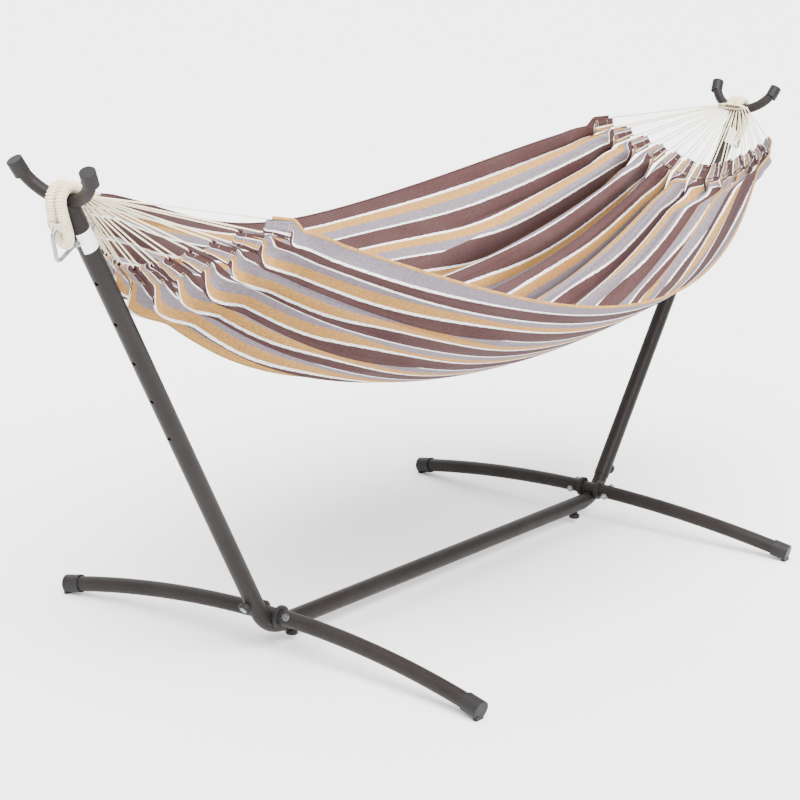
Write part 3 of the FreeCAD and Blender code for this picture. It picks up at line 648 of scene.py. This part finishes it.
def tongue(index, sign, along, c):
    """A point of the flat tab that runs back from its sewn channel."""
    centre, axis, _, pull = (np.array(value) for value in tab_frame(index))
    flare = TONGUE_HALF * (1 + TONGUE_FLARE * along)
    back = -pull * (along + TONGUE_GAP)[..., None] + axis * (c * flare)[..., None]
    apart = np.cross(pull, axis)
    pucker = 0.0012 * np.sin(c * PUCKERS) * np.clip(along / 0.03, 0, 1)
    point = centre + back + apart * pucker[..., None]
    point[..., :2] *= sign
    return point


def ridge_shift(u):
    """How far each ridge moves, row by row, to run straight into its tab."""
    grid_u, grid_v = np.meshgrid(u, np.array(TABS) / HALF, indexing="ij")
    ridges = cloth_form(grid_u, grid_v)
    lines = ridges.copy()
    for index in TABS:
        for sign in (-1, 1):
            rows = np.where(u * sign > 0)[0]
            centre, _, _, pull = (np.array(value) for value in tab_frame(index * sign))
            back = (1 - np.abs(u[rows])) * cloth_half_length(index / HALF) + TONGUE_GAP
            line = centre - pull * back[:, None]
            line[:, :2] *= sign
            lines[rows, index + HALF] = line
    return (lines - ridges) * lead_share(u)[:, None, None]


def cloth_columns():
    """For each column: its tab, its place in the tab and its place across the cloth."""
    columns = []
    for index in TABS:
        low = max((index - 0.5) / HALF, -1)
        high = min((index + 0.5) / HALF, 1)
        count = CELL_COLUMNS if abs(index) < HALF else CELL_COLUMNS // 2
        for c in np.linspace(-1, 1, count + 1):
            columns.append((index, c, low + (high - low) * (c + 1) / 2))
    return columns


def sheet_points(u, columns):
    """Every point of the sheet, row by row."""
    v = np.array([column[2] for column in columns])
    grid_u, grid_v = np.meshgrid(u, v, indexing="ij")
    body = cloth_form(grid_u, grid_v)
    normals = outward_normals(grid_u, grid_v)
    depth = np.where(grid_u > 0, fold_depth(grid_u, grid_v, "far"), fold_depth(grid_u, grid_v, "near"))
    body += normals * (depth + ripples(grid_u, grid_v))[..., None]
    shift = ridge_shift(u)
    place = v * HALF + HALF
    low = np.clip(np.floor(place), 0, 2 * HALF - 1).astype(int)
    part = (place - low)[None, :, None]
    body += shift[:, low] * (1 - part) + shift[:, low + 1] * part
    for column, (index, c, _) in enumerate(columns):
        for sign in (-1, 1):
            rows = np.where(u * sign > SLIT_START)[0]
            along = (1 - np.abs(u[rows])) * cloth_half_length(index / HALF)
            share = smoothstep((np.abs(u[rows]) - SLIT_START) / (TAB_START - SLIT_START))[:, None]
            target = tongue(index * sign, sign, along, np.full(len(rows), c * sign))
            body[rows, column] = body[rows, column] * (1 - share) + target * share
    return body


def set_cloth_coordinates(mesh, across, along):
    """The weave's own coordinates in metres, which its material reads."""
    for name, values in (("across", across), ("along", along)):
        mesh.attributes.new(name, "FLOAT", "POINT").data.foreach_set("value", np.ravel(values))


def make_sheet():
    """The bed's one cloth; stripes keep their width in the folds, row by row."""
    columns = cloth_columns()
    u = np.sin(np.linspace(-1, 1, ROWS) * math.pi / 2)
    points = sheet_points(u, columns)
    starts = np.array([c == -1 and index > -HALF for index, c, _ in columns])
    steps = np.linalg.norm(np.diff(points, axis=1), axis=2)
    steps[:, starts[1:]] = 0
    travel = np.concatenate([np.zeros((ROWS, 1)), np.cumsum(steps, axis=1)], axis=1)
    travel = (travel / travel[:, -1:] - 0.5) * CLOTH_WIDTH
    number = np.full((ROWS, len(columns)), -1)
    vertices, across, along = [], [], []
    for column in range(len(columns)):
        for row in range(ROWS):
            if starts[column] and abs(u[row]) <= SLIT_START:
                number[row, column] = number[row, column - 1]
                continue
            number[row, column] = len(vertices)
            vertices.append(points[row, column].tolist())
            across.append(travel[row, column])
            along.append(u[row] * CLOTH_HALF_LENGTH)
    faces = []
    for column in range(len(columns) - 1):
        if starts[column + 1]:
            continue
        for row in range(ROWS - 1):
            faces.append((number[row, column], number[row, column + 1],
                          number[row + 1, column + 1], number[row + 1, column]))
    mesh = bpy.data.meshes.new("striped_bed")
    mesh.from_pydata(vertices, [], [tuple(int(corner) for corner in face) for face in faces])
    set_cloth_coordinates(mesh, across, along)
    mesh.shade_smooth()
    mesh.materials.append(STRIPED)
    bed = bpy.data.objects.new("striped_bed", mesh)
    bpy.context.scene.collection.objects.link(bed)
    thickness = bed.modifiers.new("thickness", "SOLIDIFY")
    thickness.thickness = CLOTH_THICKNESS
    thickness.offset = 0.0
    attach(bed, "hammock")
    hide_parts("hammock_bed")
    return bed, points


def make_side_hem(name, line, material, across):
    """The rolled and sewn edge of the cloth."""
    hem = tube_mesh(name, line, HEM_HALF_WIDTH, HEM_HALF_HEIGHT)
    round_hem = across + np.tile(np.arange(RING) * 0.0012, len(line))
    along = np.repeat(np.linspace(-CLOTH_HALF_LENGTH, CLOTH_HALF_LENGTH, len(line)), RING)
    set_cloth_coordinates(hem.data, round_hem, along)
    hem.data.materials.append(material)
    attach(hem, "hammock")
    return hem


# ---------------------------------------------------------------- tab ends

CHANNEL = HEM_OD / 2 + 0.0008
ARC_HALF = math.radians(116)
ARC_STEPS = 15
TAIL_STEPS = 7
TAIL_GAP = 0.0016                  # from the tab's middle to each of its sewn layers
TAIL_CLOSE = 0.014                 # length over which the channel closes to that gap
TAB_TAPER = 0.36
STITCH_ROWS = (-0.012, -0.040, -0.045)
STITCH_REACH = 0.0115              # half the length of a row of stitches
STITCH_PITCH = 0.0033
STITCH_THICK = 0.00045             # half sizes of one stitch
STITCH_LONG = 0.0012
STITCH_HIGH = 0.0004
STITCH_HEIGHT = 0.0028             # above the tab's middle


def teardrop():
    """Cross-section of a tab folded over its cord: along the pull, and square to the cloth."""
    arc = np.linspace(ARC_HALF, -ARC_HALF, ARC_STEPS)
    round_part = [(CHANNEL * math.cos(a), CHANNEL * math.sin(a)) for a in arc]
    start_x, start_y = round_part[0]
    upper = []
    for share in np.linspace(0, 1, TAIL_STEPS, endpoint=False):
        x = -LOOP_LENGTH * (1 - share) + start_x * share
        near = max(0.0, 1 - (start_x - x) / TAIL_CLOSE) ** 1.5
        upper.append((x, TAIL_GAP + (start_y - TAIL_GAP) * near))
    lower = [(x, -y) for x, y in reversed(upper)]
    return upper + round_part + lower


def make_tab_ends(end):
    """Each tab folded over its cord into an open channel and sewn back on itself."""
    sign = ENDS[end]
    outline = teardrop()
    across_steps = np.linspace(-1, 1, 13)
    vertices, faces, across, along = [], [], [], []
    for index in TABS:
        centre, axis, _, pull = tab_frame(index)
        apart = pull.cross(axis)
        low, high = max(index - 0.5, -HALF), min(index + 0.5, HALF)
        first = len(vertices)
        for step, (x, y) in enumerate(outline):
            half = TONGUE_HALF * (1.04 - TAB_TAPER * smoothstep((x + LOOP_LENGTH) / LOOP_LENGTH))
            for c in across_steps:
                pucker = 0.0009 * math.sin(PUCKERS * c + index) * smoothstep(-x / 0.02)
                lift = math.copysign(abs(y) + pucker, y) if abs(y) > 0.001 else y
                point = centre + pull * (x + 0.0015 * (c * c)) + apart * lift + axis * (c * half)
                vertices.append(tuple(turned(point, sign)))
                across.append((low + (high - low) * (c + 1) / 2) * CELL * sign)
                along.append(sign * CLOTH_HALF_LENGTH + step * 0.003)
        for step in range(len(outline) - 1):
            for k in range(len(across_steps) - 1):
                corner = first + step * len(across_steps) + k
                faces.append((corner, corner + 1, corner + len(across_steps) + 1,
                              corner + len(across_steps)))
    mesh = bpy.data.meshes.new("tab_ends_" + end)
    mesh.from_pydata(vertices, [], faces)
    set_cloth_coordinates(mesh, across, along)
    mesh.shade_smooth()
    mesh.materials.append(STRIPED)
    tabs = bpy.data.objects.new("tab_ends_" + end, mesh)
    bpy.context.scene.collection.objects.link(tabs)
    thickness = tabs.modifiers.new("thickness", "SOLIDIFY")
    thickness.thickness = CLOTH_THICKNESS
    thickness.offset = 0.0
    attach(tabs, "hammock")
    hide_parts("tab_hems_" + end)
    return tabs


def make_stitches(end):
    """Rows of thread that close each tab's channel, on both faces."""
    sign = ENDS[end]
    vertices, faces = [], []
    box = [(x, y, z) for x in (-1, 1) for y in (-1, 1) for z in (-1, 1)]
    sides = [(0, 1, 3, 2), (4, 6, 7, 5), (0, 4, 5, 1), (2, 3, 7, 6), (0, 2, 6, 4), (1, 5, 7, 3)]
    for index in TABS:
        centre, axis, _, pull = tab_frame(index)
        apart = pull.cross(axis)
        for x in STITCH_ROWS:
            for face in (-1, 1):
                for place in np.arange(-STITCH_REACH, STITCH_REACH + STITCH_THICK, STITCH_PITCH):
                    first = len(vertices)
                    tilt = 0.0005 if x < -0.04 else 0.0
                    for a, b, c in box:
                        spot = centre + pull * (x + a * STITCH_THICK + b * tilt)
                        spot += axis * (place + b * STITCH_LONG)
                        spot += apart * (face * (STITCH_HEIGHT + c * STITCH_HIGH))
                        vertices.append(tuple(turned(spot, sign)))
                    faces += [tuple(first + corner for corner in side) for side in sides]
    mesh = bpy.data.meshes.new("tab_stitches_" + end)
    mesh.from_pydata(vertices, [], faces)
    mesh.materials.append(THREAD)
    stitches = bpy.data.objects.new("tab_stitches_" + end, mesh)
    bpy.context.scene.collection.objects.link(stitches)
    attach(stitches, "hammock")
    return stitches


bed, bed_points = make_sheet()
extras = [make_side_hem("right_side_hem", bed_points[:, 0], TAN_HEM, -0.75),
          make_side_hem("left_side_hem", bed_points[:, -1], BROWN_HEM, 0.75)]
for end in ENDS:
    extras += [make_tab_ends(end), make_stitches(end)]

# ---------------------------------------------------------------- floor, light and world


def make_floor():
    """A pale floor a hair below the feet."""
    mesh = bpy.data.meshes.new("floor")
    reach = 30.0
    mesh.from_pydata([(-reach, -reach, 0), (reach, -reach, 0), (reach, reach, 0), (-reach, reach, 0)],
                     [], [(0, 1, 2, 3)])
    shader = Shader("pale_floor", (0.92, 0.92, 0.92), 0.85)
    shader.set("Base Color", shader.mix(shader.noise(3.0, 2.0, shader.place()),
                                        (0.91, 0.91, 0.91, 1), (0.93, 0.93, 0.93, 1)))
    mesh.materials.append(shader.material)
    floor = bpy.data.objects.new("floor", mesh)
    floor.location.z = -0.0004
    bpy.context.scene.collection.objects.link(floor)


def make_light(name, towards, strength, spread):
    """A wide soft source so far off that it lights the floor evenly."""
    data = bpy.data.lights.new(name, "SUN")
    data.energy = strength
    data.angle = math.radians(spread)
    light = bpy.data.objects.new(name, data)
    light.rotation_euler = Vector(towards).to_track_quat("-Z", "Y").to_euler()
    bpy.context.scene.collection.objects.link(light)


def make_world():
    world = bpy.data.worlds.new("studio")
    world.use_nodes = True
    background = world.node_tree.nodes["Background"]
    background.inputs["Color"].default_value = (1, 1, 1, 1)
    background.inputs["Strength"].default_value = 1.2
    bpy.context.scene.world = world


make_floor()
make_light("key", (0.40, 0.42, -0.82), 12.5, 60.0)
make_light("fill", (-0.35, -0.40, -0.85), 3.0, 80.0)
make_world()
